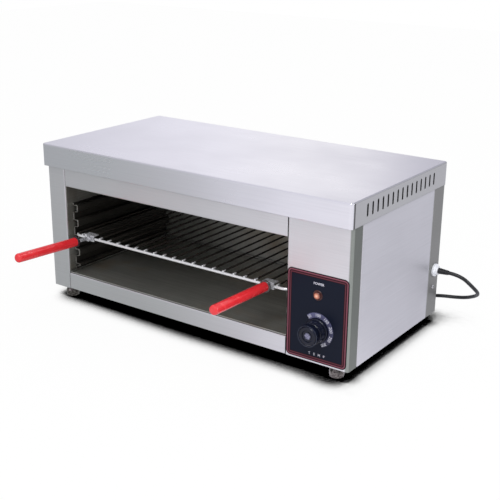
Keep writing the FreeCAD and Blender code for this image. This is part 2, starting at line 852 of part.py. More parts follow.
def make_panel():
    overlay = plate_at_front(control_left + overlay_margin_left, half_width - overlay_margin_right,
                             overlay_bottom, overlay_top, overlay_corner, panel_face, 0)
    holes = [rod(knob_x, panel_face - over, knob_height, bush_radius + bush_hole_gap,
                 overlay_thick + 2 * over, (0, 1, 0)),
             rod(lamp_x, panel_face - over, lamp_height, lamp_neck_radius + fit_gap,
                 overlay_thick + 2 * over, (0, 1, 0))]
    for x in thermostat_screw_places():
        holes.append(rod(x, panel_face - over, knob_height, small_screw_radius + fit_gap,
                         overlay_thick + 2 * over, (0, 1, 0)))
    shapes["control_overlay"] = overlay.cut(holes)

    first = math.radians(scale_start)
    last = math.radians(scale_end)
    middle = (first + last) / 2
    outline = Part.Wire([
        Part.Arc(scale_sector(scale_outer, first), scale_sector(scale_outer, middle),
                 scale_sector(scale_outer, last)).toShape(),
        Part.LineSegment(scale_sector(scale_outer, last), scale_sector(scale_inner, last)).toShape(),
        Part.Arc(scale_sector(scale_inner, last), scale_sector(scale_inner, middle),
                 scale_sector(scale_inner, first)).toShape(),
        Part.LineSegment(scale_sector(scale_inner, first), scale_sector(scale_outer, first)).toShape(),
    ])
    shapes["dial_scale"] = Part.Face(outline).extrude(Vector(0, -scale_thick, 0))

    bezel_front = panel_face - bezel_thick
    bezel = revolved(
        ((0, 0), (bezel_radius, 0), (bezel_radius, bezel_thick / 2),
         (bezel_radius - bezel_thick / 2, bezel_thick), (0, bezel_thick)),
        lamp_x, panel_face, lamp_height, (0, -1, 0))
    neck = rod(lamp_x, panel_face, lamp_height, lamp_neck_radius, overlay_thick + sheet, (0, 1, 0))
    shapes["pilot_lamp_bezel"] = bezel.fuse(neck).removeSplitter()
    lens = rod(lamp_x, bezel_front, lamp_height, lens_radius, lens_rise, (0, -1, 0))
    shapes["pilot_lamp_lens"] = rounded_end(lens, bezel_front - lens_rise, lens_rise - bezel_thick / 2)
    shapes["pilot_lamp_body"] = rod(lamp_x, sheet, lamp_height, lamp_body_radius, lamp_body_length,
                                    (0, 1, 0))


def make_wiring():
    block_x = half_width - block_from_right
    block_rear = gland_y - block_from_gland
    block_front = block_rear - block_width
    block_z = 2 * sheet
    lead_z = block_z + block_height / 2
    shapes["terminal_block"] = block(block_x - block_length / 2, block_x + block_length / 2,
                                     block_front, block_rear, block_z, block_z + block_height)
    tail_start = skin_inside - gland_thread
    shapes["supply_tail"] = tube(
        ((tail_start, gland_y, gland_height), (block_x, gland_y, gland_height),
         (block_x, gland_y, lead_z), (block_x, block_rear, lead_z)), tail_bend, cord_diameter / 2)

    pin_end = cavity_right + inner_sheet + element_tail + stud_pin_length
    leads_left = block_x - block_length / 2 + lead_pitch / 2
    leads = []
    for index, (near, far) in enumerate(element_places()):
        x = leads_left + (element_count - 1 - index) * lead_pitch
        leads.append(tube(((x, block_front, lead_z), (x, near, lead_z), (x, near, element_height),
                           (pin_end, near, element_height)), lead_bend, lead_radius))
    thermostat_rear = sheet + thermostat_plate + thermostat_depth
    for index, step in ((element_count, -1), (element_count + 1, 0)):
        x = leads_left + index * lead_pitch
        z = knob_height + step * lead_pitch
        leads.append(tube(((x, block_front, lead_z), (x, thermostat_rear + thermostat_width, lead_z),
                           (x, thermostat_rear + thermostat_width, z), (x, thermostat_rear, z)),
                          lead_bend, lead_radius))
    x = leads_left + (element_count + 2) * lead_pitch
    turn_y = thermostat_rear + thermostat_width + lead_pitch
    leads.append(tube(((x, block_front, lead_z), (x, turn_y, lead_z), (x, turn_y, lamp_height),
                       (lamp_x, turn_y, lamp_height), (lamp_x, sheet + lamp_body_length, lamp_height)),
                      lead_bend, lead_radius))
    shapes["internal_leads"] = grouped(leads)


def make_tray():
    left = cavity_left + tray_side_gap
    right = control_left - tray_side_gap
    rear = cavity_depth - tray_rear_gap
    front = tray_front + tray_hem / 2
    outside = block(left, right, front, rear, tray_floor, tray_floor + tray_rim)
    inside = block(left + tray_sheet, right - tray_sheet, front - over, rear - tray_sheet,
                   tray_floor + tray_sheet, tray_floor + tray_rim + over)
    hem = rod(left, front, tray_floor + tray_hem / 2, tray_hem / 2, right - left, (1, 0, 0))
    shapes["crumb_tray"] = outside.cut(inside).fuse(hem).removeSplitter()


def make_rack():
    left = cavity_left + rack_left_gap + rail_radius
    right = cavity_right - rack_right_gap - rail_radius
    front = rack_front + rail_radius
    rear = cavity_depth - rack_rear_gap - rail_radius
    middle = (left + right) / 2
    corners = [Vector(x, y, rail_z) for x, y in (
        (middle, rear), (left, rear), (left, front), (right, front), (right, rear), (middle, rear))]
    edges = tangent_path(corners, [rack_corner] * 4)
    shapes["rack_frame"] = tube_along(edges, corners[0], Vector(-1, 0, 0), rail_radius)

    pitch = (right - left) / (wire_count + 1)
    wire_length = rear - front + 2 * (rail_radius - weld_sink)
    wires = []
    for index in range(wire_count):
        wires.append(rod(left + (index + 1) * pitch, rack_front + weld_sink, wire_z, wire_radius,
                         wire_length, (0, 1, 0)))
    shapes["rack_wires"] = grouped(wires)

    brackets = []
    nuts = []
    rods = []
    collars = []
    sleeves = []
    wire_top = wire_z + wire_radius + weld_gap
    root_y = rack_front - bracket_sheet
    root_z = rail_z + bracket_rise
    handle_places = (left + handle_left_inset, right - handle_right_inset)
    for x, slip, tilt in zip(handle_places, sleeve_slips, handle_tilts):
        brackets.append(folded_across(
            ((rack_front, rail_z - bracket_drop), (rack_front, wire_top),
             (rack_front + bracket_tab, wire_top)),
            bracket_sheet, bracket_sheet + weld_sink, x - bracket_width / 2, x + bracket_width / 2))
        seat = root_y - handle_seat
        bar = rod(x, seat, root_z, handle_rod_radius, handle_rod_length, (0, -1, 0))
        nut = hex_prism(x, seat, root_z, handle_nut_width, handle_nut_thick, (0, -1, 0))
        bar_hole = rod(x, root_y, root_z, handle_rod_radius + thread_gap, sleeve_bore, (0, -1, 0))
        sleeve_front = root_y - sleeve_start - slip
        collar = revolved(
            ((handle_rod_radius + thread_gap, 0), (collar_radius - collar_bevel, 0),
             (collar_radius, collar_bevel), (collar_radius, collar_thick - collar_bevel),
             (collar_radius - collar_bevel, collar_thick),
             (handle_rod_radius + thread_gap, collar_thick)),
            x, sleeve_front + collar_thick, root_z, (0, -1, 0))
        sleeve = rod(x, sleeve_front, root_z, sleeve_radius, sleeve_length, (0, -1, 0))
        sleeve = rounded_end(sleeve, sleeve_front - sleeve_length, sleeve_round)
        sleeve = sleeve.cut(rod(x, sleeve_front + over, root_z, handle_rod_radius + thread_gap,
                                sleeve_bore + over, (0, -1, 0)))
        root = Vector(x, root_y, root_z)
        for piece, group in ((bar, rods), (nut.cut(bar_hole), nuts), (collar, collars),
                             (sleeve, sleeves)):
            piece.rotate(root, Vector(1, 0, 0), -tilt)
            group.append(piece)
    shapes["handle_brackets"] = grouped(brackets)
    shapes["handle_nuts"] = grouped(nuts)
    shapes["handle_rods"] = grouped(rods)
    shapes["handle_collars"] = grouped(collars)
    shapes["handle_sleeves"] = grouped(sleeves)


def make_feet():
    nuts = []
    for name, (x, y) in foot_places().items():
        pad_radius = foot_radius - foot_pad / 4
        shapes[name + "_foot"] = revolved(
            ((0, 0), (pad_radius, 0), (pad_radius, foot_pad), (foot_radius, foot_pad),
             (foot_radius, foot_height / 2), (foot_waist_radius, foot_height - foot_cup_top),
             (stud_radius, foot_height - foot_cup_top), (stud_radius, foot_height + stud_rise),
             (0, foot_height + stud_rise)), x, y, -foot_height, (0, 0, 1))
        nut = hex_prism(x, y, 2 * sheet, foot_nut_width, foot_nut_height, (0, 0, 1))
        nuts.append(nut.cut(rod(x, y, 0, stud_radius + thread_gap, foot_height, (0, 0, 1))))
    shapes["foot_nuts"] = grouped(nuts)


def screw(x, y, z, direction):
    """Pan head screw whose head stands out along direction from the seat at x, y, z."""
    head = revolved(((0, 0), (case_head_radius, 0), (case_head_radius, case_head / 2),
                     (case_head_radius - case_head / 2, case_head), (0, case_head)),
                    x, y, z, direction)
    inward = tuple(-part for part in direction)
    return head.fuse(rod(x, y, z, case_screw_radius, case_screw_length, inward)).removeSplitter()


def make_screws():
    screws = []
    for x in rear_screw_places():
        screws.append(screw(x, body_depth, rear_screw_z(False), (0, 1, 0)))
        screws.append(screw(x, body_depth + fit_gap + sheet, rear_screw_z(True), (0, 1, 0)))
    screws.append(screw(half_width, side_screw_y(), side_screw_height, (1, 0, 0)))
    shapes["case_screws"] = grouped(screws)


def make_gland():
    outer = revolved(
        ((0, 0), (gland_radius, 0), (gland_radius, gland_base),
         (gland_neck_radius + gland_base / 2, gland_base), (gland_neck_radius, gland_reach),
         (0, gland_reach)),
        half_width, gland_y, gland_height, (1, 0, 0))
    inner = rod(half_width, gland_y, gland_height, gland_thread_radius, sheet + gland_thread, (-1, 0, 0))
    shapes["cable_gland"] = outer.fuse(inner).removeSplitter()
    nut = hex_prism(skin_inside, gland_y, gland_height, 2 * locknut_radius, locknut_thick, (-1, 0, 0))
    shapes["gland_locknut"] = nut.cut(
        rod(half_width, gland_y, gland_height, gland_thread_radius + thread_gap, gland_thread, (-1, 0, 0)))
    shapes["cord_strain_relief"] = revolved(
        ((0, 0), (relief_radius, 0), (relief_tip_radius, relief_length), (0, relief_length)),
        half_width + gland_reach, gland_y, gland_height, (1, 0, 0))


def make_cord():
    """Free stretch of the mains cord, its arcs as large as its runs allow."""
    points = [Vector(*point) for point in cord_route]
    radii = []
    for before, corner, after in zip(points, points[1:], points[2:]):
        coming = corner - before
        going = after - corner
        shorter = min(coming.Length, going.Length)
        radii.append(arc_share * shorter / math.tan(coming.getAngle(going) / 2))
    edges = tangent_path(points, radii)
    lead = tube_along(edges, points[0], points[1] - points[0], cord_diameter / 2)
    length = Part.Wire(edges).Length
    section = math.pi * cord_diameter ** 2 / 4
    print("cord radii", [round(radius) for radius in radii])
    print("cord lead length", round(length, 1),
          "volume ratio", round(lead.Volume / (section * length), 4))
    shapes["cord_lead"] = lead
    return points[-1], length


def rise(value, low, high):
    """Smooth step from 0 at low to 1 at high."""
    share = min(max((value - low) / (high - low), 0), 1)
    return (1 - math.cos(math.pi * share)) / 2


def coil_radius(turned):
    reverse = math.pi * coil_loop_count
    slope = (cord_diameter + coil_gap) / (2 * math.pi)
    inner = coil_outer_radius - slope * reverse
    away = abs(turned - reverse)
    if away < math.pi / 2:
        return inner + slope * (away ** 2 / math.pi + math.pi / 4)
    return inner + slope * away


def coil_place(turned, centre):
    """Middle of the cord once it has turned so far round the coil."""
    reverse = math.pi * coil_loop_count
    quarter = math.pi / 2
    upper = tie_thick + tie_gap + cord_diameter + coil_layer_gap
    height = (tie_thick + tie_gap) * rise(turned, 0, quarter)
    height += (cord_diameter + coil_layer_gap) * rise(turned, reverse - quarter, reverse + quarter)
    height += (plug_radius - cord_diameter / 2 - upper) * rise(turned, 2 * reverse - quarter, 2 * reverse)
    radius = coil_radius(turned)
    angle = quarter + turned
    return centre + Vector(radius * math.cos(angle), radius * math.sin(angle), height)


def arc_from(start, way, end):
    """Arc that leaves start along way and reaches end."""
    chord = end - start
    along = Vector(chord).normalize()
    side = way - along * way.dot(along)
    half_angle = way.getAngle(chord) / 2
    middle = (start + end) / 2 + side.normalize() * (chord.Length / 2 * math.tan(half_angle))
    return Part.Arc(start, middle, end).toShape()


def biarc(start, start_way, end, end_way):
    """Two tangent arcs that leave start and reach end along the given ways."""
    span = end - start
    square = 2 * (start_way.dot(end_way) - 1)
    linear = -2 * span.dot(start_way + end_way)
    reach = (-linear - math.sqrt(linear ** 2 - 4 * square * span.dot(span))) / (2 * square)
    meeting = (start + start_way * reach + end - end_way * reach) / 2
    return [arc_from(start, start_way, meeting), arc_from(end, end_way * -1, meeting)]


def make_coil(start):
    """Rest of the cord, put away in two flat layers that wind in and out again."""
    left = Vector(-1, 0, 0)
    centre = start + Vector(-cord_diameter, -coil_outer_radius, 0)
    quarters = 4 * coil_loop_count
    tiny = math.pi / 1000
    places = []
    ways = []
    for index in range(quarters + 1):
        turned = index * math.pi / 2
        places.append(coil_place(turned, centre))
        ways.append((coil_place(turned + tiny, centre) - coil_place(turned - tiny, centre)).normalize())
    ways[0] = left
    ways[-1] = left
    edges = [Part.LineSegment(start, places[0]).toShape()]
    for index in range(quarters):
        edges += biarc(places[index], ways[index], places[index + 1], ways[index + 1])
    end = places[-1] + left * plug_run
    edges.append(Part.LineSegment(places[-1], end).toShape())
    path = Part.Wire(Part.sortEdges(edges)[0])
    circle = Part.Wire(Part.makeCircle(cord_diameter / 2, start, left))
    coil = path.makePipeShell([circle], True, False)
    shapes["cord_coil"] = coil
    section = math.pi * cord_diameter ** 2 / 4
    print("coil length", round(path.Length, 1),
          "volume ratio", round(coil.Volume / (section * path.Length), 4))
    print("coil least gap", round(least_gap(path), 2))
    make_tie(centre)
    return end, path.Length


def least_gap(path):
    """Least gap between stretches of a path that are far apart along it."""
    count = int(path.Length / (cord_diameter / 4))
    points = path.discretize(count)
    apart = int(4 * math.pi)
    nearest = min((points[i] - points[j]).Length
                  for i in range(len(points)) for j in range(i + apart, len(points)))
    return nearest - cord_diameter


def make_tie(centre):
    angle = 2 * math.pi * tie_turn_share
    radii = [coil_radius(angle + 2 * math.pi * turn) for turn in range(coil_loop_count)]
    cord_radius = cord_diameter / 2
    inner_left = min(radii) - cord_radius - tie_gap
    inner_right = max(radii) + cord_radius + tie_gap
    inner_foot = tie_thick - cord_radius
    inner_top = tie_thick + tie_gap + cord_diameter + coil_layer_gap + cord_radius + tie_gap
    rings = []
    for grow, width, corner in ((tie_thick, tie_width, tie_round),
                                (0, tie_width + 2 * over, tie_round - tie_thick)):
        ring = rounded_block(inner_left - grow, inner_right + grow, inner_foot - grow, inner_top + grow,
                             -width / 2, width / 2, corner)
        ring.rotate(Vector(0, 0, 0), Vector(1, 0, 0), 90)
        rings.append(ring)
    tie = rings[0].cut(rings[1])
    tie.rotate(Vector(0, 0, 0), Vector(0, 0, 1), 90 + math.degrees(angle))
    tie.translate(centre)
    shapes["cord_tie"] = tie


def make_plug(end):
    left = (-1, 0, 0)
    body = revolved(
        ((0, 0), (relief_tip_radius, 0), (plug_neck_radius, plug_neck),
         (plug_radius - plug_round, plug_neck + plug_grip_length / 2),
         (plug_radius, plug_neck + plug_grip_length), (plug_radius, plug_neck + plug_length - plug_round),
         (plug_radius - plug_round, plug_neck + plug_length), (0, plug_neck + plug_length)),
        end.x, end.y, end.z, left)
    grip_start = end.x - plug_neck - plug_grip_length / 2
    flats = []
    for side in (-1, 1):
        inner = side * (plug_radius - plug_grip_cut)
        outer = side * (plug_radius + over)
        flats.append(block(grip_start - plug_grip_length, grip_start,
                           end.y + min(inner, outer), end.y + max(inner, outer),
                           end.z - plug_radius, end.z + plug_radius))
    shapes["plug_body"] = body.cut(flats)
    pins = []
    for side in (-1, 1):
        pin = rod(end.x - plug_neck - plug_length, end.y + side * pin_spacing / 2, end.z, pin_radius,
                  pin_length, left)
        rims = [edge for edge in pin.Edges if edge.BoundBox.XMax < end.x - plug_neck - plug_length - over]
        pins.append(pin.makeFillet(pin_radius / 2, rims))
    shapes["plug_pins"] = grouped(pins)


cord_nodes = ("cable_gland", "cord_strain_relief", "cord_lead", "cord_coil", "cord_tie",
              "plug_body", "plug_pins")

make_hood()
make_outer_panels()
make_front_strips()
make_base()
make_cavity()
make_insulation()
make_elements()
make_thermostat()
make_knob()
make_panel()
make_wiring()
make_tray()
make_rack()
make_feet()
make_screws()
make_gland()
lead_end, lead_length = make_cord()
coil_end, coil_length = make_coil(lead_end)
make_plug(coil_end)
print("cord length outside the object", round(relief_length + lead_length + coil_length, 1))

outline = grouped([shape for name, shape in shapes.items() if name not in cord_nodes])
reach = outline.optimalBoundingBox()
origin = Vector((reach.XMin + reach.XMax) / 2, (reach.YMin + reach.YMax) / 2, -foot_height)
print("origin on the building frame", [round(value, 3) for value in origin])
for name, shape in shapes.items():
    shape.translate(origin * -1)
    shape.exportStep("parts/" + name + ".step")
print(len(shapes), "nodes")
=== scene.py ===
import math

import bmesh
import bpy
from mathutils import Matrix, Vector


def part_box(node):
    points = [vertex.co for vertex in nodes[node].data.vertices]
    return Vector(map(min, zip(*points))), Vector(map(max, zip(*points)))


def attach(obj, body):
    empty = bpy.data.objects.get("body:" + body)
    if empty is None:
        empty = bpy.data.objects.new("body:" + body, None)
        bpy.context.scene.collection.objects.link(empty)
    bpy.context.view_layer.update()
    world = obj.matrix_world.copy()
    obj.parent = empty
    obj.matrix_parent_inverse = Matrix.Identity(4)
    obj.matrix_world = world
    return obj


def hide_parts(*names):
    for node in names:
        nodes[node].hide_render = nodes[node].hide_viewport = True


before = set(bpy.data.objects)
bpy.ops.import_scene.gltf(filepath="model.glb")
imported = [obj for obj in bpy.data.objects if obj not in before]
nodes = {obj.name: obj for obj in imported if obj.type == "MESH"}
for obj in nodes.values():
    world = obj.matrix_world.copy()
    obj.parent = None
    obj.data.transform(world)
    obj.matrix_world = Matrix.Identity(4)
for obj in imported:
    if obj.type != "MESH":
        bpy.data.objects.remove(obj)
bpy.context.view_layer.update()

# The body's own frame (front plane, middle, underside) as seen from the origin, in metres
bodyOrigin = Vector((-0.00045, -0.094238, 0.024))
mm = 0.001


def place(x, y, z):
    return bodyOrigin + Vector((x, y, z)) * mm


white = (1.0, 1.0, 1.0, 1.0)
black = (0.0, 0.0, 0.0, 1.0)


def hexColor(text):
    channels = [int(text[i:i + 2], 16) / 255 for i in (0, 2, 4)]
    linear = [c / 12.92 if c <= 0.04045 else ((c + 0.055) / 1.055) ** 2.4 for c in channels]
    return (*linear, 1.0)


def newMaterial(name):
    material = bpy.data.materials.new(name)
    material.use_nodes = True
    material.node_tree.nodes.clear()
    return material


def addNode(owner, kind, inputs=None, **settings):
    node = owner.node_tree.nodes.new(kind)
    for name, value in settings.items():
        setattr(node, name, value)
    for key, value in (inputs or {}).items():
        socket = node.inputs[key]
        if isinstance(value, bpy.types.NodeSocket):
            owner.node_tree.links.new(value, socket)
        else:
            socket.default_value = value
    return node


def objectCoords(owner):
    return addNode(owner, "ShaderNodeTexCoord").outputs["Object"]


def splitAxes(owner, vector):
    return addNode(owner, "ShaderNodeSeparateXYZ", {0: vector}).outputs


def calculate(owner, operation, *values):
    node = addNode(owner, "ShaderNodeMath", dict(enumerate(values)), operation=operation)
    return node.outputs[0]


def vectorNode(owner, operation, *values):
    return addNode(owner, "ShaderNodeVectorMath", dict(enumerate(values)), operation=operation)


def calculateVector(owner, operation, *values):
    return vectorNode(owner, operation, *values).outputs["Vector"]


def vectorLength(owner, vector):
    return vectorNode(owner, "LENGTH", vector).outputs["Value"]


def mapRange(owner, value, low, high, toLow=0.0, toHigh=1.0, **settings):
    node = addNode(owner, "ShaderNodeMapRange", {
        "Value": value, "From Min": low, "From Max": high, "To Min": toLow, "To Max": toHigh},
        **settings)
    return node.outputs[0]


def mixColors(owner, share, first, second, mode="MIX"):
    node = addNode(owner, "ShaderNodeMix", {0: share, 6: first, 7: second},
                   data_type="RGBA", blend_type=mode)
    return node.outputs[2]


def multiplyColors(owner, first, second):
    return mixColors(owner, 1.0, first, second, "MULTIPLY")


def mixShaders(owner, share, first, second):
    return addNode(owner, "ShaderNodeMixShader", {0: share, 1: first, 2: second}).outputs[0]


def colorRamp(owner, value, stages):
    ramp = addNode(owner, "ShaderNodeValToRGB", {"Fac": value})
    stops = ramp.color_ramp.elements
    while len(stops) < len(stages):
        stops.new(0.5)
    for stop, (where, color) in zip(stops, stages):
        stop.position = where
        stop.color = hexColor(color)
    return ramp.outputs["Color"]


def addNoise(owner, coords, size, detail=2.0, roughness=0.5, distortion=0.0):
    node = addNode(owner, "ShaderNodeTexNoise", {
        "Vector": coords, "Scale": 1 / (size * mm), "Detail": detail, "Roughness": roughness,
        "Distortion": distortion})
    return node.outputs["Fac"]


def finishShader(material, inputs):
    shader = addNode(material, "ShaderNodeBsdfPrincipled", inputs)
    addNode(material, "ShaderNodeOutputMaterial", {"Surface": shader.outputs[0]})
    return material


# What all the brushed steels share; lengths in mm, pairs as from and to
steel = {
    "tones": (0.32, 0.68),
    "foldEdge": (0.5, 0.2),
    "innerEase": 0.1,
    "bendEase": 2.5,
    "lipEase": 1.0,
    "seamReach": 5.0,
    "seam": (0.30, 0.90),
    "seamTone": 0.15,
    "roughRange": (0.3, 0.7),
    "roughSpread": (0.07, -0.05),
    "edgeRadius": 2.2,
    "grooves": {"Strength": 0.03, "Distance": 0.02 * mm},
    "rays": 6,
}


# Patches where the heat has browned the sheet
def heatTint(material, coords, color, tint):
    patch = addNoise(material, coords, tint["size"], 3.0, 0.6)
    share = mapRange(material, patch, *tint["range"])
    return mixColors(material, share, color, hexColor(tint["color"]))


# Painted shade: a wrapped side is darkened against the face that it is bent from
def foldShade(material, coords, color, wrap):
    low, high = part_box(wrap["node"])
    across = splitAxes(material, coords)
    away = calculate(material, "ABSOLUTE", across["X"])
    share = mapRange(material, away, *(high.x - inset * mm for inset in steel["foldEdge"]))
    tone = mixColors(material, share, white, hexColor(wrap["color"]))
    if "cornerLightAndSeam" in wrap:
        # the hood's rounded front corner: a painted highlight at the edge and painted shade behind
        # it, closed by the fine dark line of the corner seam
        ground = mapRange(material, across["Y"], low.y, low.y + wrap["cornerLightWidth"] * mm)
        cornerLightAndSeam = colorRamp(material, ground, wrap["cornerLightAndSeam"])
        tone = multiplyColors(material, tone, mixColors(material, share, white, cornerLightAndSeam))
    return multiplyColors(material, color, tone)


# Painted shade: the edges of punched slots and the inner faces are darkened
def punchedShade(material, coords, color, punched):
    low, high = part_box(punched["node"])
    centre = Vector(((low.x + high.x) / 2, (low.y + high.y) / 2, low.z))
    reach = high - centre - Vector(punched["margin"]) * mm
    moved = calculateVector(material, "SUBTRACT", coords, centre)
    mirrored = calculateVector(material, "ABSOLUTE", moved)
    within = splitAxes(material, calculateVector(material, "SUBTRACT", reach, mirrored))
    flat = calculate(material, "MINIMUM", within["X"], within["Y"])
    least = calculate(material, "MINIMUM", flat, within["Z"])
    share = mapRange(material, least, 0.0, steel["innerEase"] * mm)
    return mixColors(material, share, color, hexColor(punched["color"]))


# Painted shade turns the wide bend at the right end of the front grey
def bendShade(material, coords, color, bend):
    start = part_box(bend["node"])[1].x - bend["width"] * mm
    share = mapRange(material, splitAxes(material, coords)["X"], start,
                     start + steel["bendEase"] * mm)
    tone = mixColors(material, share, white, hexColor(bend["color"]))
    return multiplyColors(material, color, tone)


# Cut front edges keep the plain colour, and what lies behind them is darkened as painted shade
def lipShade(material, coords, color, lip):
    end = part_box(lip["node"])[0].y + lip["width"] * mm
    share = mapRange(material, splitAxes(material, coords)["Y"], end, end + steel["lipEase"] * mm)
    return mixColors(material, share, color, hexColor(lip["color"]))


# Cold-rolled stainless sheet: brushed one way, so it shows fine streaks and soft smudges
def brushedSteel(name, light, dark, roughness, grain, streak=(160, 2.0), smudge=140, metal=1.0,
                 tint=None, wrap=None, punched=None, bend=None, lip=None):
    material = newMaterial(name)
    stretch = [1 / (streak[1] * mm)] * 3
    stretch[grain] = 1 / (streak[0] * mm)
    coords = objectCoords(material)
    along = addNode(material, "ShaderNodeMapping", {"Vector": coords, "Scale": stretch}).outputs[0]
    lines = addNode(material, "ShaderNodeTexNoise", {
        "Vector": along, "Scale": 1.0, "Detail": 3.0, "Roughness": 0.6}).outputs["Fac"]
    soft = addNoise(material, coords, smudge)
    half = calculate(material, "MULTIPLY", calculate(material, "ADD", lines, soft), 0.5)
    color = colorRamp(material, half, tuple(zip(steel["tones"], (dark, light))))
    for shade, setting in ((heatTint, tint), (foldShade, wrap), (punchedShade, punched),
                           (bendShade, bend), (lipShade, lip)):
        if setting:
            color = shade(material, coords, color, setting)
    # painted shade in the seams and inner corners
    seams = addNode(material, "ShaderNodeAmbientOcclusion", {
        "Distance": steel["seamReach"] * mm}, samples=steel["rays"]).outputs["AO"]
    color = multiplyColors(material, color, mapRange(
        material, seams, *steel["seam"], toLow=steel["seamTone"]))
    rough = mapRange(material, half, *steel["roughRange"],
                     *(roughness + spread for spread in steel["roughSpread"]))
    edges = addNode(material, "ShaderNodeBevel", {"Radius": steel["edgeRadius"] * mm},
                    samples=steel["rays"]).outputs[0]
    bump = addNode(material, "ShaderNodeBump", {
        "Height": lines, "Normal": edges, **steel["grooves"]}).outputs[0]
    return finishShader(material, {
        "Base Color": color, "Metallic": metal, "Roughness": rough, "Normal": bump})


# Copies of one stainless sheet, toned lightest on the hood, a little darker on the front and the
# side covers, and darker still on the back and the base: painted light and shade
hoodSteel = brushedSteel(
    "brushedStainlessHood", "F2F2F8", "EAEAF0", 0.30, 0,
    wrap={"node": "top_hood", "color": "D4D5CF", "cornerLightWidth": 11.0,
          "cornerLightAndSeam": ((0.0, "FFFFFF"), (0.25, "F0F0F0"), (0.70, "8A8A8A"), (0.78, "686868"),
                   (0.88, "4A4A4A"), (1.0, "FFFFFF"))},
    punched={"node": "top_hood", "margin": (0.15, 8.0, 3.2), "color": "141312"})
frontSteel = brushedSteel(
    "brushedStainlessFront", "EAEAEC", "E2E2E4", 0.46, 0,
    wrap={"node": "control_box_front", "color": "D0D0CE"},
    bend={"node": "control_box_front", "width": 8.5, "color": "B0B6AE"})
sideSteel = brushedSteel("brushedStainlessSide", "E0E0E4", "D8D8DC", 0.46, 1)
backSteel = brushedSteel("brushedStainlessBack", "C8C9C8", "BCBDBC", 0.36, 0,
                         wrap={"node": "rear_panel", "color": "C4C4C0"})
baseSteel = brushedSteel("plainStainlessBase", "9A9C9A", "8A8C8A", 0.42, 0)
cavitySteel = brushedSteel("cavityStainless", "BEBEB8", "9C9C96", 0.40, 1, metal=0.82,
                           tint={"size": 160, "range": (0.50, 0.85), "color": "7C6C54"})
guideSteel = brushedSteel("guideStainless", "B8B8B2", "8C8C88", 0.36, 1, metal=0.6,
                          lip={"node": "left_rack_guide", "width": 2.0, "color": "3E3C38"})
traySteel = brushedSteel("trayStainless", "B8B8B2", "94948E", 0.38, 0, streak=(90, 3.0),
                         metal=0.76, tint={"size": 120, "range": (0.55, 0.9), "color": "A89880"})


turning = {
    "tones": (0.35, 0.65),
    "roughSpread": (0.08, -0.06),
    "shadeBehindRail": (6.0, 10.0),
}


# Rings too fine to count, drawn as a close grain.
# Chrome plating is darkened behind the front rail as painted shade, and stays bright at the front
# rail.
def turnedMetal(name, light, dark, roughness, grain=1.2, shadeBehindRail=None, metal=1.0):
    material = newMaterial(name)
    coords = objectCoords(material)
    grit = addNoise(material, coords, grain)
    color = colorRamp(material, grit, tuple(zip(turning["tones"], (dark, light))))
    # painted shade darkens the wire behind the front rail
    if shadeBehindRail:
        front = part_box("rack_wires")[0].y
        share = mapRange(material, splitAxes(material, coords)["Y"],
                         *(front + depth * mm for depth in turning["shadeBehindRail"]))
        color = mixColors(material, share, color, hexColor(shadeBehindRail))
    rough = mapRange(material, grit, 0.0, 1.0,
                     *(roughness + spread for spread in turning["roughSpread"]))
    return finishShader(material, {"Base Color": color, "Metallic": metal, "Roughness": rough})


platedWire = turnedMetal("chromePlatedWire", "F4F4F6", "E2E2E6", 0.24, shadeBehindRail="3C3834", metal=0.5)
platedSteel = turnedMetal("zincPlatedSteel", "ECECF0", "98989E", 0.30, 3.5, metal=0.55)
elementSheath = turnedMetal("incoloySheath", "4A4542", "35302E", 0.45, 2.5)
# The feet's turned metal is darkened as painted shade under the body
footMetal = turnedMetal("turnedFootMetal", "8A8480", "3C3836", 0.18, 4.0)
copper = turnedMetal("drawnCopper", "C07A52", "9A5A3C", 0.35)
platedBrass = turnedMetal("nickelPlatedBrass", "D8D2C0", "B8B2A0", 0.25)
insertMetal = turnedMetal("knurledInsert", "A4A4BA", "3C3C54", 0.32, 2.6)


moulding = {
    "cloud": 18.0,
    "tones": (0.35, 0.65),
    "roughRange": (0.3, 0.7),
    "roughSpread": (-0.04, 0.06),
    "peelStrength": 0.25,
}


# Faint mottling and a fine orange-peel skin.
# The collar is painted greyer on the right side than the nearly black left one: painted light and
# shade on two copies of one part.
def moulded(name, light, dark, roughness, ior=1.49, peel=0.7, coat=0.0, depth=0.03, gloss=0.5,
            right=None):
    material = newMaterial(name)
    coords = objectCoords(material)
    cloud = addNoise(material, coords, moulding["cloud"], 3.0)
    color = colorRamp(material, cloud, tuple(zip(moulding["tones"], (dark, light))))
    if right:
        share = calculate(material, "GREATER_THAN", splitAxes(material, coords)["X"], 0.0)
        color = mixColors(material, share, color, hexColor(right))
    skin = addNoise(material, coords, peel, 1.0)
    bump = addNode(material, "ShaderNodeBump", {
        "Height": skin, "Strength": moulding["peelStrength"], "Distance": depth * mm}).outputs[0]
    rough = mapRange(material, cloud, *moulding["roughRange"],
                     *(roughness + spread for spread in moulding["roughSpread"]))
    return finishShader(material, {
        "Base Color": color, "Roughness": rough, "IOR": ior, "Specular IOR Level": gloss,
        "Coat Weight": coat, "Normal": bump})


redPlastic = moulded("redPhenolicSleeve", "E8343A", "E02C34", 0.24, peel=7.0, coat=0.3, depth=0.01)
collarPlastic = moulded("collarPlastic", "2E1C26", "20141C", 0.30, right="4C4648")
knobPlastic = moulded("blackPhenolicKnob", "10162A", "0A0E1C", 0.24, peel=1.5, gloss=0.35)
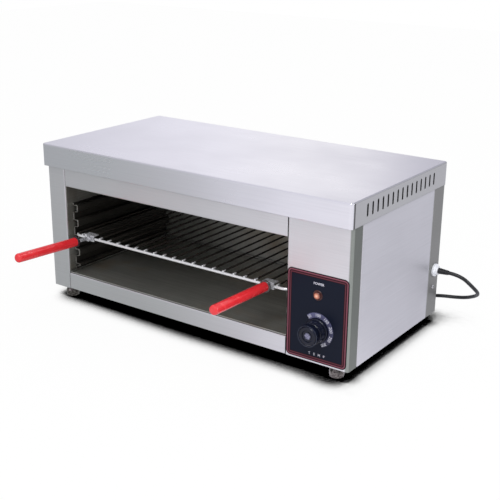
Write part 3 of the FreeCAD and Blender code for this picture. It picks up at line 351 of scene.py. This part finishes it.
# a pale plastic for the knob's rims: painted highlight
rimHighlightPlastic = moulded("paintedKnobRimHighlight", "3C4254", "2C3040", 0.22)
recessPaint = moulded("shadedRecess", "2A2A2C", "1C1C1E", 0.55)
lampPlastic = moulded("lampRingPlastic", "4A2420", "3A1C1A", 0.30)
glandPlastic = moulded("whiteNylonGland", "F0F2F8", "E4E6EE", 0.38)
plugPlastic = moulded("blackPvcPlug", "1C1C1E", "141416", 0.42)
cordRubber = moulded("blackRubberSheath", "1E2022", "121416", 0.38, ior=1.52, peel=1.0, depth=0.06)
ceramic = moulded("glazedCeramic", "EDE8DC", "DFD8CA", 0.25)
sleevedWire = moulded("siliconeWire", "9C9488", "847C70", 0.55)
nylonTie = moulded("blackNylonTie", "1A1A1A", "121212", 0.50)
inkWhite = moulded("paleScreenInk", "D2D2E0", "C2C2D2", 0.45)


wool = {
    "fibre": 3.0,
    "tones": ((0.0, "2A2620"), (1.0, "5A5346")),
    "fluff": {"Strength": 0.6, "Distance": 0.8 * mm},
}


# Loose slab of rock wool, matt and fibrous; its brown grey is darkened as painted shade for the
# slots and gaps that show it
def mineralWool():
    material = newMaterial("mineralWool")
    fibres = addNoise(material, objectCoords(material), wool["fibre"], 6.0, distortion=1.5)
    bump = addNode(material, "ShaderNodeBump", {"Height": fibres, **wool["fluff"]}).outputs[0]
    return finishShader(material, {
        "Base Color": colorRamp(material, fibres, wool["tones"]), "Roughness": 0.95,
        "Normal": bump})


overlay = {
    "lines": ((0.0, "0E0608"), (1.6, "200C12"), (2.4, "88505E"), (4.0, "7E4856"), (4.8, "32121C"),
              (6.8, "32121C"), (7.5, "6E3A46"), (8.8, "54262F"), (9.6, "180A12"), (11.2, "101626")),
    "corner": 10.0,
    "cloud": 40.0,
    "rough": (0.28, 0.40),
    "texture": 0.8,
    "relief": {"Strength": 0.15, "Distance": 0.02 * mm},
}


# Printed polycarbonate film: a maroon double line runs round a near black ground
def overlayFilm():
    low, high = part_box("control_overlay")
    half = (high - low) / 2
    inner = overlay["corner"] * mm
    last = overlay["lines"][-1][0]
    material = newMaterial("printedPolycarbonateFilm")
    coords = objectCoords(material)
    centred = calculateVector(material, "SUBTRACT", coords, (low + high) / 2)
    flat = calculateVector(material, "MULTIPLY", centred, (1, 0, 1))
    mirrored = calculateVector(material, "ABSOLUTE", flat)
    past = calculateVector(material, "SUBTRACT", mirrored, (half.x - inner, 0, half.z - inner))
    outside = vectorLength(material, calculateVector(material, "MAXIMUM", past, (0, 0, 0)))
    parts = splitAxes(material, past)
    larger = calculate(material, "MAXIMUM", parts["X"], parts["Z"])
    reach = calculate(material, "ADD", outside, calculate(material, "MINIMUM", larger, 0.0))
    share = mapRange(material, reach, inner, inner - last * mm)
    color = colorRamp(material, share, [(depth / last, tone) for depth, tone in overlay["lines"]])
    cloud = addNoise(material, coords, overlay["cloud"])
    texture = addNoise(material, coords, overlay["texture"], 1.0)
    bump = addNode(material, "ShaderNodeBump", {"Height": texture, **overlay["relief"]}).outputs[0]
    return finishShader(material, {
        "Base Color": color, "Roughness": mapRange(material, cloud, 0.0, 1.0, *overlay["rough"]),
        "IOR": 1.58, "Specular IOR Level": 0.10, "Normal": bump})


dialInk = {
    "flake": 1.5,
    "flakes": ((0.0, "FFFFFF"), (1.0, "C8C8D0")),
    "bottom": "1C1E32",
    "top": "6E7096",
}


# Metallic lilac print with fine flakes, painted lighter at the top and fading to navy towards the
# bottom: painted light and shade
def scaleFilm():
    low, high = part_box("dial_scale")
    material = newMaterial("metallicScaleInk")
    coords = objectCoords(material)
    flakes = addNode(material, "ShaderNodeTexVoronoi", {
        "Vector": coords, "Scale": 1 / (dialInk["flake"] * mm)}).outputs["Distance"]
    rise = mapRange(material, splitAxes(material, coords)["Z"], low.z, high.z)
    fade = mixColors(material, rise, hexColor(dialInk["bottom"]), hexColor(dialInk["top"]))
    color = multiplyColors(material, colorRamp(material, flakes, dialInk["flakes"]), fade)
    return finishShader(material, {"Base Color": color, "Metallic": 0.4, "Roughness": 0.42})


lampCap = {
    "cloud": 5.0,
    "mottling": 0.24,
    "stages": ((0.15, "F2C6B0"), (0.50, "D89074"), (0.80, "9C5844"), (1.0, "4A2420")),
    "glow": 0.05,
}


# Translucent orange cap, painted lighter in its middle and darker at its thick rim: a painted
# highlight and painted shade; it also glows faintly
def lampLens():
    low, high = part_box("pilot_lamp_lens")
    material = newMaterial("orangePolycarbonateLens")
    coords = objectCoords(material)
    centred = calculateVector(material, "SUBTRACT", coords, (low + high) / 2)
    away = vectorLength(material, calculateVector(material, "MULTIPLY", centred, (1, 0, 1)))
    share = mapRange(material, away, 0.0, (high.x - low.x) / 2)
    mottled = calculate(material, "MULTIPLY_ADD", addNoise(material, coords, lampCap["cloud"]),
                        lampCap["mottling"], share)
    color = colorRamp(material, mottled, lampCap["stages"])
    return finishShader(material, {
        "Base Color": color, "Roughness": 0.20, "IOR": 1.58, "Emission Color": color,
        "Emission Strength": lampCap["glow"]})


surfaces = (
    (hoodSteel, ("top_hood",)),
    (frontSteel, ("left_front_post", "control_box_front", "front_lintel", "front_sill")),
    (sideSteel, ("left_side_cover", "right_side_cover")),
    (backSteel, ("rear_panel",)),
    (baseSteel, ("base_panel",)),
    (cavitySteel, ("left_inner_wall", "right_inner_wall", "cavity_rear_wall", "heat_reflector",
                   "element_hangers", "bulb_clips")),
    (traySteel, ("cavity_floor", "crumb_tray")),
    (guideSteel, ("left_rack_guide", "right_rack_guide")),
    (platedWire, ("rack_frame", "rack_wires")),
    (platedSteel, ("handle_rods", "handle_brackets", "handle_nuts", "element_ferrules",
                   "case_screws", "foot_nuts", "thermostat_screws", "thermostat_shaft",
                   "thermostat_body")),
    (elementSheath, ("heating_elements",)),
    (mineralWool(), ("roof_insulation", "wall_insulation")),
    (scaleFilm(), ("dial_scale",)),
    (overlayFilm(), ("control_overlay",)),
    (knobPlastic, ("thermostat_knob",)),
    (insertMetal, ("knob_centre",)),
    (lampLens(), ("pilot_lamp_lens",)),
    (lampPlastic, ("pilot_lamp_bezel", "pilot_lamp_body")),
    (ceramic, ("element_terminals", "terminal_block")),
    (redPlastic, ("handle_sleeves",)),
    (collarPlastic, ("handle_collars",)),
    (footMetal, ("front_left_foot", "front_right_foot", "rear_left_foot", "rear_right_foot")),
    (glandPlastic, ("cable_gland", "gland_locknut")),
    (cordRubber, ("cord_strain_relief", "cord_lead", "cord_coil", "supply_tail")),
    (plugPlastic, ("plug_body",)),
    (platedBrass, ("plug_pins",)),
    (copper, ("thermostat_bulb", "capillary_tube")),
    (sleevedWire, ("internal_leads",)),
    (nylonTie, ("cord_tie",)),
)
finishes = {nodeName: surface for surface, names in surfaces for nodeName in names}

for nodeName, node in nodes.items():
    node.data.materials.clear()
    node.data.materials.append(finishes[nodeName])
print("materials:", len(finishes), "nodes")


def newObject(name, data):
    made = bpy.data.objects.new(name, data)
    bpy.context.scene.collection.objects.link(made)
    return made


def newPiece(name, data, material, body):
    piece = newObject(name, data)
    piece.data.materials.clear()
    piece.data.materials.append(material)
    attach(piece, body)
    return piece


def toMesh(build, name):
    mesh = bpy.data.meshes.new(name)
    build.to_mesh(mesh)
    build.free()
    return mesh


def toSmoothMesh(build, name):
    bmesh.ops.remove_doubles(build, verts=build.verts, dist=0.01 * mm)
    bmesh.ops.recalc_face_normals(build, faces=build.faces)
    for face in build.faces:
        face.smooth = True
    return toMesh(build, name)


# In mm, in the body's own frame
mainsCord = {
    "diameter": 8.0,
    "route": ((434, 366, 104), (462, 366, 104), (489, 379, 77), (491, 404, 57), (478, 420, 43),
              (442, 439, 24), (380, 418, 24), (328, 438, -3), (276, 478, -20), (226, 514, -20),
              (176, 516, -20)),
    "turns": 4,
    "outerRadius": 60.0,
    "gap": 0.9,
    "layerGap": 0.8,
    "tie": 1.6,
    "plugRun": 22.0,
    "plugEase": 0.75,
    "plugRadius": 19.0,
    "pointsPerTurn": 16,
}


def smoothStep(value, low, high):
    share = min(max((value - low) / (high - low), 0), 1)
    return (1 - math.cos(math.pi * share)) / 2


# The coil winds inwards in a lower layer, crosses over, and winds outwards in an upper one
def coilPoint(turned, centre):
    reverse = math.pi * mainsCord["turns"]
    slope = (mainsCord["diameter"] + mainsCord["gap"]) / (2 * math.pi)
    inner = mainsCord["outerRadius"] - slope * reverse
    away = abs(turned - reverse)
    radius = inner + slope * (away ** 2 / math.pi + math.pi / 4 if away < math.pi / 2 else away)
    layer = mainsCord["diameter"] + mainsCord["layerGap"]
    height = mainsCord["tie"] * smoothStep(turned, 0, math.pi / 2)
    height += layer * smoothStep(turned, reverse - math.pi / 2, reverse + math.pi / 2)
    lift = mainsCord["plugRadius"] - mainsCord["diameter"] / 2 - mainsCord["tie"] - layer
    height += lift * smoothStep(turned, 2 * reverse - math.pi / 2, 2 * reverse)
    angle = math.pi / 2 + turned
    # the spline cuts inside its corners, so its points stand out by that much
    radius /= 1 - (math.pi / mainsCord["pointsPerTurn"]) ** 2 / 2
    return centre + Vector((radius * math.cos(angle), radius * math.sin(angle), height))


def cordPoints():
    route = [Vector(point) for point in mainsCord["route"]]
    diameter = mainsCord["diameter"]
    centre = route[-1] + Vector((-diameter, -mainsCord["outerRadius"], 0))
    steps = mainsCord["turns"] * mainsCord["pointsPerTurn"]
    whole = 2 * math.pi * mainsCord["turns"]
    coil = [coilPoint(whole * (step + 0.5) / steps, centre) for step in range(steps)]
    top = mainsCord["plugRadius"] - diameter / 2
    end = Vector((centre.x - mainsCord["plugRun"], route[-1].y, route[-1].z + top))
    before = end + Vector((mainsCord["plugRun"] * mainsCord["plugEase"], 0, 0))
    return route + coil + [before, end]


def makeCord():
    points = cordPoints()
    diameter = mainsCord["diameter"]
    curve = bpy.data.curves.new("mainsCord", "CURVE")
    curve.dimensions = "3D"
    curve.bevel_depth = diameter / 2 * mm
    curve.bevel_resolution = 6
    curve.resolution_u = 12
    curve.use_fill_caps = True
    spline = curve.splines.new("NURBS")
    spline.points.add(len(points) - 1)
    for spot, point in zip(spline.points, points):
        spot.co = (*place(*point), 1.0)
    spline.order_u = 3
    spline.use_endpoint_u = True
    piece = newPiece("mainsCord", curve, cordRubber, "chassis")
    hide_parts("cord_lead", "cord_coil")
    place(*points[0])


makeCord()
print("mains cord made")


# Built row by row, because the spin operator gives another order of faces on each run
def addRing(build, centre, axis, radius, ring):
    side = axis.orthogonal().normalized()
    rows = []
    for step in range(ring["steps"]):
        outward = Matrix.Rotation(2 * math.pi * step / ring["steps"], 3, axis) @ side
        row = []
        for corner in range(ring["corners"]):
            angle = 2 * math.pi * corner / ring["corners"]
            offset = outward * math.cos(angle) + axis * math.sin(angle)
            row.append(build.verts.new(
                centre + outward * radius + offset * ring["thickness"] * mm))
        rows.append(row)
    for step, row in enumerate(rows):
        before = rows[step - 1]
        for corner, vert in enumerate(row):
            build.faces.new((vert, row[corner - 1], before[corner - 1], before[corner]))


reliefRib = {
    "count": 5,
    "first": 1.2,
    "proud": 0.8,
    "thickness": 0.55,
    "steps": 40,
    "corners": 8,
}


# Moulded ribs that let the cord's sleeve bend
def makeReliefRibs():
    low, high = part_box("cord_strain_relief")
    centre = (low + high) / 2
    thick = (high.z - low.z) / 2
    thin = (mainsCord["diameter"] / 2 + reliefRib["proud"]) * mm
    build = bmesh.new()
    for rib in range(reliefRib["count"]):
        share = (rib + reliefRib["first"]) / (reliefRib["count"] + 1)
        spot = Vector((low.x + (high.x - low.x) * share, centre.y, centre.z))
        addRing(build, spot, Vector((1, 0, 0)), thick + (thin - thick) * share, reliefRib)
    newPiece("reliefRibs", toSmoothMesh(build, "reliefRibs"), cordRubber, "chassis")


knobRing = {
    "inset": 1.1,
    "insertGap": 0.6,
    "face": 1.5,
    "thickness": 0.5,
    "steps": 56,
    "corners": 8,
}


def knobAxis():
    low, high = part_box("thermostat_shaft")
    return (low + high) / 2


def knobFaceRadius():
    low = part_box("thermostat_knob")[0]
    axis = knobAxis()
    return max(math.hypot(vert.co.x - axis.x, vert.co.z - axis.z)
               for vert in nodes["thermostat_knob"].data.vertices
               if vert.co.y < low.y + knobRing["face"] * mm)


# Pale rings on the knob's front edge and round its insert: painted highlights
def makeKnobRim():
    insertLow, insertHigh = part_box("knob_centre")
    axis = knobAxis()
    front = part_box("thermostat_knob")[0].y + knobRing["thickness"] * mm
    build = bmesh.new()
    for radius in (knobFaceRadius() - knobRing["inset"] * mm,
                   (insertHigh.x - insertLow.x) / 2 + knobRing["insertGap"] * mm):
        addRing(build, Vector((axis.x, front, axis.z)), Vector((0, 1, 0)), radius, knobRing)
    newPiece("knobRim", toSmoothMesh(build, "knobRim"), rimHighlightPlastic, "knob")


# Length and width as shares of the head, depth and rounding in mm
screwRecess = {
    "length": 0.62,
    "width": 0.16,
    "depth": 0.12,
    "turns": (35, 125),
    "round": 0.03,
}


def meshIslands(build):
    found = set()
    for first in build.verts:
        if first in found:
            continue
        island, edge = set(), {first}
        while edge:
            island |= edge
            edge = {other for vert in edge for link in vert.link_edges
                    for other in link.verts} - island
        found |= island
        yield island


# Cross recesses in the heads of the case screws, whose axes run along X or Y, drawn as dark
# crosses: painted shade in their hollows
def makeRecesses():
    screws = bmesh.new()
    screws.from_mesh(nodes["case_screws"].data)
    bmesh.ops.remove_doubles(screws, verts=screws.verts, dist=0.001 * mm)
    build = bmesh.new()
    depth = screwRecess["depth"] * mm
    for island in meshIslands(screws):
        low = Vector([min(vert.co[axis] for vert in island) for axis in range(3)])
        high = Vector([max(vert.co[axis] for vert in island) for axis in range(3)])
        size = high - low
        length, width = (screwRecess[name] * size.z for name in ("length", "width"))
        face = (low + high) / 2
        if abs(size.y - size.z) < abs(size.x - size.z):
            outward, shape = Vector((1, 0, 0)), Matrix.Diagonal((depth, length, width, 1))
            face.x = high.x
        else:
            outward, shape = Vector((0, 1, 0)), Matrix.Diagonal((length, depth, width, 1))
            face.y = high.y
        for turn in screwRecess["turns"]:
            made = bmesh.ops.create_cube(build, size=1.0)["verts"]
            bmesh.ops.transform(build, verts=made, matrix=Matrix.Translation(face)
                                @ Matrix.Rotation(math.radians(turn), 4, outward) @ shape)
    screws.free()
    bmesh.ops.bevel(build, geom=list(build.edges), offset=screwRecess["round"] * mm, segments=1,
                    profile=0.5, affect="EDGES", material=-1)
    newPiece("screwRecesses", toSmoothMesh(build, "screwRecesses"), recessPaint, "chassis")


makeReliefRibs()
makeKnobRim()
makeRecesses()
print("small fittings made")


dialPrint = {
    "numbers": ("50", "100", "150", "200", "250", "300"),
    "size": 8.6,
    "weight": 0.14,
    "ink": 0.05,
    "radius": 30.8,
    "first": -36.0,
    "last": 150.0,
    # text, size, place beside the knob's axis, height
    "captions": (("POWER", 6.8, 0.0, 167.0), ("T", 7.2, -16.5, 19.0), ("E", 7.2, -5.5, 19.0),
                 ("M", 7.2, 5.5, 19.0), ("P", 7.2, 16.5, 19.0)),
}


def textMesh(text, size):
    curve = bpy.data.curves.new("print" + text, "FONT")
    curve.body = text
    curve.size = size * mm
    curve.offset = dialPrint["weight"] * mm
    curve.extrude = dialPrint["ink"] * mm
    curve.align_x = "CENTER"
    curve.align_y = "CENTER"
    curve.resolution_u = 4
    holder = bpy.data.objects.new("print" + text, curve)
    mesh = bpy.data.meshes.new_from_object(holder)
    bpy.data.objects.remove(holder)
    return mesh


def makePrint(name, marks):
    build = bmesh.new()
    for text, size, turn, middle in marks:
        mesh = textMesh(text, size)
        mesh.transform(Matrix.Translation(middle) @ Matrix.Rotation(turn, 4, "Y")
                       @ Matrix.Rotation(math.pi / 2, 4, "X"))
        build.from_mesh(mesh)
        bpy.data.meshes.remove(mesh)
    newPiece(name, toMesh(build, name), inkWhite, "chassis")


def makeDialPrint():
    axis = knobAxis()
    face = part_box("dial_scale")[0].y - dialPrint["ink"] * mm
    step = (dialPrint["last"] - dialPrint["first"]) / (len(dialPrint["numbers"]) - 1)
    marks = []
    for index, text in enumerate(dialPrint["numbers"]):
        turn = math.radians(dialPrint["first"] + index * step)
        outward = Vector((math.sin(turn), 0, math.cos(turn)))
        middle = Vector((axis.x, face, axis.z)) + outward * dialPrint["radius"] * mm
        marks.append((text, dialPrint["size"], turn, middle))
    makePrint("dialNumbers", marks)


def makeCaptions():
    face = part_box("control_overlay")[0].y - dialPrint["ink"] * mm
    makePrint("panelCaptions", [
        (text, size, 0.0, Vector((knobAxis().x + across * mm, face, place(0, 0, height).z)))
        for text, size, across, height in dialPrint["captions"]])


makeDialPrint()
makeCaptions()
print("dial and panel printed")


studio = {
    "camera": (1208.85, -1568.69, 852.51),
    "turn": (70.8712, -0.5327, 35.4537),
    "lens": 69.298,
    "sensor": 36,
    "ambient": 0.85,
    # name, place, target, watts
    "lamps": (("keyLight", (0.9, -1.6, 2.4), (0, 0, 0.2), 22),
              ("fillLight", (2.4, 0.6, 1.4), (0.2, 0, 0.2), 10)),
    "lampSize": 0.8,
    "floor": "F6F6F6",
    "floorSize": 6.0,
    "whiteShare": 0.95,
    # the room falls off to the left: what the floor shows a metal, by x - 0.8 y in metres
    "slant": -0.8,
    "falloff": ((-0.6, "A2A6A6"), (0.0, "A8ACAB"), (0.2, "C4C3C8"), (0.4, "F2F0FA"),
                (0.6, "FCFAFF")),
    "sideFloor": "DCDBE4",
    "floorTurn": (-0.1, 0.25),
    # and what the walls show it, by the sideways share of the direction
    "frontWall": ((-0.9, "A0A2A2"), (-0.7, "B0B0B4"), (-0.45, "F4F2FC"), (-0.1, "EEECF6"),
                  (0.5, "C8C8D0"), (0.9, "BEBEC6")),
    "rearWall": ((-0.9, "B4B4BC"), (-0.75, "C4C3CC"), (-0.60, "F6F4FC"), (-0.52, "FFFDFF"),
                 (-0.46, "FFFDFF"), (-0.40, "C0BECA"), (-0.2, "A0A0A8"), (0.9, "C0C0C6")),
    "wallTurn": (-0.2, 0.2),
}

# The shade under the object
floorShade = {
    "reach": 75.0 * mm,
    "lean": (0.75, -0.7, 0.0),
    "range": (0.58, 0.88),
    "thinner": 0.32,
    "wider": 0.85,
    "rays": 16,
    # metres on the floor, the ends counted from the middle
    "left": (-0.45, 0.0),
    "middle": 0.10,
    "ends": (0.15, 0.23),
    "rightSide": (0.33, 0.41),
}


def falloffRamp(owner, value, stages):
    first, last = stages[0][0], stages[-1][0]
    share = mapRange(owner, value, first, last)
    return colorRamp(owner, share, [
        ((where - first) / (last - first), color) for where, color in stages])


def floorOpenness(material, coords, spot):
    leaning = calculateVector(material, "MULTIPLY_ADD", coords, floorShade["lean"], (0, 0, 1))
    upright = calculateVector(material, "NORMALIZE", leaning)
    closeness = addNode(material, "ShaderNodeAmbientOcclusion", {
        "Distance": floorShade["reach"], "Normal": upright},
        samples=floorShade["rays"]).outputs["AO"]
    # the painted shadow is thin on the left and fills the right corners
    left = mapRange(material, spot["X"], *floorShade["left"], floorShade["thinner"], 0.0)
    away = calculate(material, "ABSOLUTE",
                     calculate(material, "SUBTRACT", spot["Y"], floorShade["middle"]))
    pastEnd = mapRange(material, away, *floorShade["ends"])
    pastSide = mapRange(material, spot["X"], *floorShade["rightSide"],
                        toHigh=-floorShade["wider"])
    shift = calculate(material, "MULTIPLY_ADD", pastEnd, pastSide, left)
    closed = calculate(material, "SUBTRACT", 1.0, closeness)
    nearness = calculate(material, "MULTIPLY_ADD", closed, shift, closeness)
    return mapRange(material, nearness, *floorShade["range"], interpolation_type="SMOOTHSTEP")


# White to the camera, apart from the shade; to a metal it shows the room's falloff
def floorPaint():
    material = newMaterial("paintedStudioFloor")
    coords = objectCoords(material)
    spot = splitAxes(material, coords)
    light = addNode(material, "ShaderNodeLightPath").outputs
    openness = floorOpenness(material, coords, spot)
    tone = mixColors(material, openness, black, hexColor(studio["floor"]))
    paint = addNode(material, "ShaderNodeBsdfDiffuse", {"Color": tone}).outputs[0]
    plain = addNode(material, "ShaderNodeEmission", {"Color": white, "Strength": 1.0}).outputs[0]
    share = calculate(material, "MULTIPLY", openness, studio["whiteShare"])
    seen = calculate(material, "MULTIPLY", light["Is Camera Ray"], share)
    direct = mixShaders(material, seen, paint, plain)
    slant = calculate(material, "MULTIPLY_ADD", spot["Y"], studio["slant"], spot["X"])
    behind = mapRange(material, spot["Y"], *studio["floorTurn"])
    shown = mixColors(material, behind, falloffRamp(material, slant, studio["falloff"]),
                      hexColor(studio["sideFloor"]))
    mirrored = addNode(material, "ShaderNodeEmission", {"Color": shown, "Strength": 1.0}).outputs[0]
    glossy = calculate(material, "MULTIPLY", light["Is Glossy Ray"], studio["whiteShare"])
    both = mixShaders(material, glossy, direct, mirrored)
    # seen from below, the floor lets the underside show
    below = addNode(material, "ShaderNodeNewGeometry").outputs["Backfacing"]
    clear = addNode(material, "ShaderNodeBsdfTransparent").outputs[0]
    addNode(material, "ShaderNodeOutputMaterial", {
        "Surface": mixShaders(material, below, both, clear)})
    return material


def makeStage():
    build = bmesh.new()
    bmesh.ops.create_grid(build, x_segments=1, y_segments=1, size=studio["floorSize"])
    floor = newObject("studioFloor", toMesh(build, "studioFloor"))
    floor.data.materials.append(floorPaint())


def makeWorld():
    world = bpy.data.worlds.new("whiteStudio")
    world.use_nodes = True
    world.node_tree.nodes.clear()
    light = addNode(world, "ShaderNodeLightPath").outputs
    seen = calculate(world, "MAXIMUM", light["Is Camera Ray"], light["Is Glossy Ray"])
    through = calculate(world, "MAXIMUM", seen, light["Is Transmission Ray"])
    strength = mapRange(world, through, 0.0, 1.0, studio["ambient"], 1.0)
    way = splitAxes(world, addNode(world, "ShaderNodeTexCoord").outputs["Generated"])
    behind = mapRange(world, way["Y"], *studio["wallTurn"])
    walls = mixColors(world, behind, falloffRamp(world, way["X"], studio["frontWall"]),
                      falloffRamp(world, way["X"], studio["rearWall"]))
    tone = mixColors(world, light["Is Glossy Ray"], white, walls)
    sky = addNode(world, "ShaderNodeBackground", {"Color": tone, "Strength": strength})
    addNode(world, "ShaderNodeOutputWorld", {"Surface": sky.outputs[0]})
    bpy.context.scene.world = world


def makeLamp(name, spot, target, power):
    lamp = bpy.data.lights.new(name, "AREA")
    lamp.shape = "RECTANGLE"
    lamp.size = lamp.size_y = studio["lampSize"]
    lamp.energy = power
    holder = newObject(name, lamp)
    holder.location = spot
    holder.rotation_euler = (Vector(target) - Vector(spot)).to_track_quat("-Z", "Y").to_euler()


def makeCamera():
    camera = bpy.data.cameras.new("photoCamera")
    camera.lens = studio["lens"]
    camera.sensor_width = studio["sensor"]
    holder = newObject("photoCamera", camera)
    holder.location = Vector(studio["camera"]) * mm
    holder.rotation_euler = [math.radians(angle) for angle in studio["turn"]]
    bpy.context.scene.camera = holder


makeStage()
makeWorld()
for lampRow in studio["lamps"]:
    makeLamp(*lampRow)
makeCamera()
bpy.context.scene.view_settings.view_transform = "Standard"
print("stage, light and camera set")
